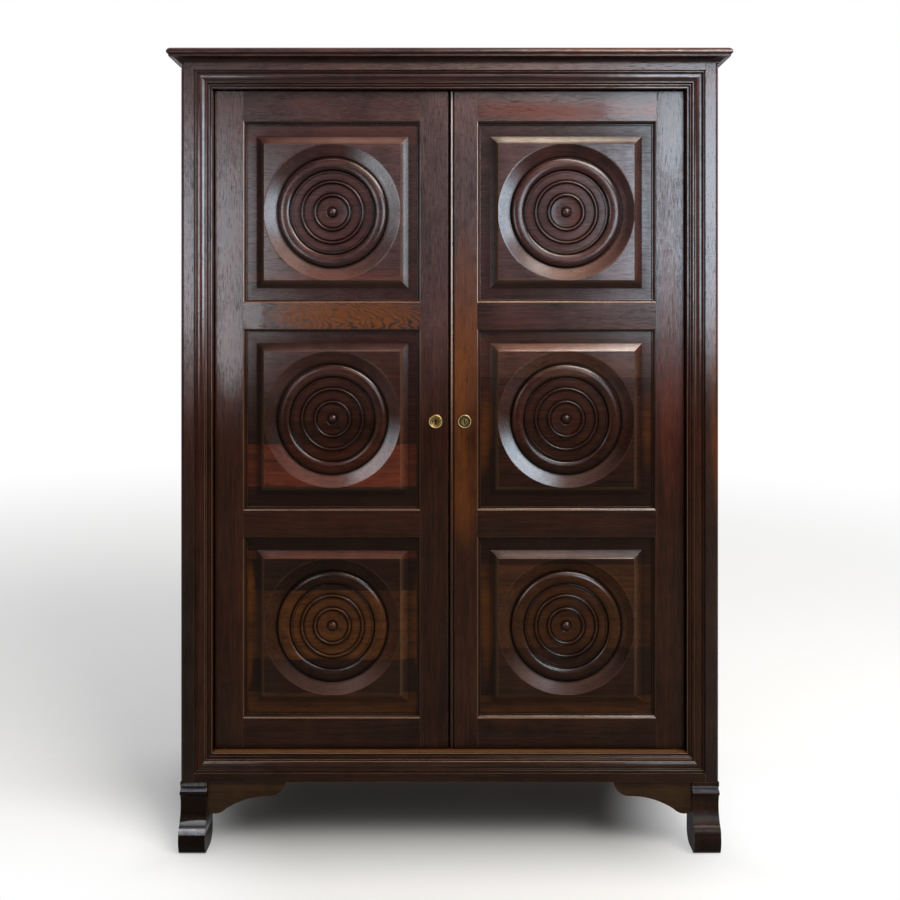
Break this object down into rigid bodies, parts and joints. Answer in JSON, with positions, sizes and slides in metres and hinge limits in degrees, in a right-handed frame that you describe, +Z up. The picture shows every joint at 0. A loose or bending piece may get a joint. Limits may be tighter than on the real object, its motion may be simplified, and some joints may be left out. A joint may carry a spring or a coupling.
{
  "type": "linen press",
  "caption": "Tall two-door oak cupboard on scroll feet: frame-and-panel doors with turned roundels, shelves, pivot hinges, lock and bolts.",
  "frame": {"origin": "on the floor, in the middle of the footprint box", "axes": "+Z up, the doors face -Y, +X to the right of someone facing the doors"},
  "size_m": [1.27, 0.545, 1.815],
  "materials": {
    "carcass_oak": "dark stained oak, polished",
    "door_oak": "dark stained oak, polished",
    "panel_oak": "dark stained oak, polished, worn lighter on the rings",
    "moulding_oak": "dark stained oak, worn light on the edges",
    "inner_oak": "plain oak, unpolished",
    "brass": "aged brass"
  },
  "bodies": {
    "carcass": {"back_boards": "inner_oak", "door_stops": "inner_oak", "floor_board": "inner_oak", "frieze_rail": "carcass_oak", "front_cornice": "moulding_oak", "left_front_bracket": "carcass_oak", "left_front_foot": "carcass_oak", "left_front_post": "carcass_oak", "left_rear_post": "carcass_oak", "left_side_panels": "carcass_oak", "left_side_rails": "carcass_oak", "opening_moulding_bottom": "moulding_oak", "opening_moulding_left": "moulding_oak", "opening_moulding_right": "moulding_oak", "opening_moulding_top": "moulding_oak", "pivot_plates": "brass", "rear_rails": "inner_oak", "right_front_bracket": "carcass_oak", "right_front_foot": "carcass_oak", "right_front_post": "carcass_oak", "right_rear_post": "carcass_oak", "right_side_panels": "carcass_oak", "right_side_rails": "carcass_oak", "shelf_cleats": "inner_oak", "shelves": "inner_oak", "side_brackets": "carcass_oak", "side_cornices": "moulding_oak", "sill_rail": "carcass_oak", "top_board": "carcass_oak"},
    "left_door": {"barrel_cases": "brass", "left_door_bottom_rail": "door_oak", "left_door_hinge_stile": "door_oak", "left_door_meeting_stile": "door_oak", "left_door_middle_rails": "door_oak", "left_door_panels": "panel_oak", "left_door_sockets": "brass", "left_door_sticking": "moulding_oak", "left_door_top_rail": "door_oak", "left_keyhole_disc": "brass", "left_rosette": "brass", "lock_keeper": "brass"},
    "right_door": {"lock_case": "brass", "right_door_bottom_rail": "door_oak", "right_door_hinge_stile": "door_oak", "right_door_meeting_stile": "door_oak", "right_door_middle_rails": "door_oak", "right_door_panels": "panel_oak", "right_door_sockets": "brass", "right_door_sticking": "moulding_oak", "right_door_top_rail": "door_oak", "right_rosette": "brass"},
    "lock_plug": {"lock_plug": "brass"},
    "lock_bolt": {"lock_bolt": "brass"},
    "upper_bolt": {"upper_bolt_rod": "brass"},
    "lower_bolt": {"lower_bolt_rod": "brass"}
  },
  "joints": [
    {"name": "left_door_hinge", "type": "hinge", "parent": "carcass", "child": "left_door", "pos_m": [-0.5208, -0.2005, 0.2155], "axis": [0, 0, -1], "range_deg": [0, 105]},
    {"name": "right_door_hinge", "type": "hinge", "parent": "carcass", "child": "right_door", "pos_m": [0.5208, -0.2005, 0.2155], "axis": [0, 0, 1], "range_deg": [0, 105]},
    {"name": "lock_plug_turn", "type": "hinge", "parent": "right_door", "child": "lock_plug", "pos_m": [0.0345, -0.2075, 0.969], "axis": [0, -1, 0], "range_deg": [0, 90]},
    {"name": "lock_bolt_slide", "type": "slide", "parent": "right_door", "child": "lock_bolt", "axis": [-1, 0, 0], "range_m": [0, 0.01415]},
    {"name": "upper_bolt_slide", "type": "slide", "parent": "left_door", "child": "upper_bolt", "axis": [0, 0, 1], "range_m": [0, 0.014]},
    {"name": "lower_bolt_slide", "type": "slide", "parent": "left_door", "child": "lower_bolt", "axis": [0, 0, -1], "range_m": [0, 0.014]}
  ],
  "couplings": [
    {"joint": "lock_bolt_slide", "follows": "lock_plug_turn", "m_per_rad": 0.009002}
  ]
}
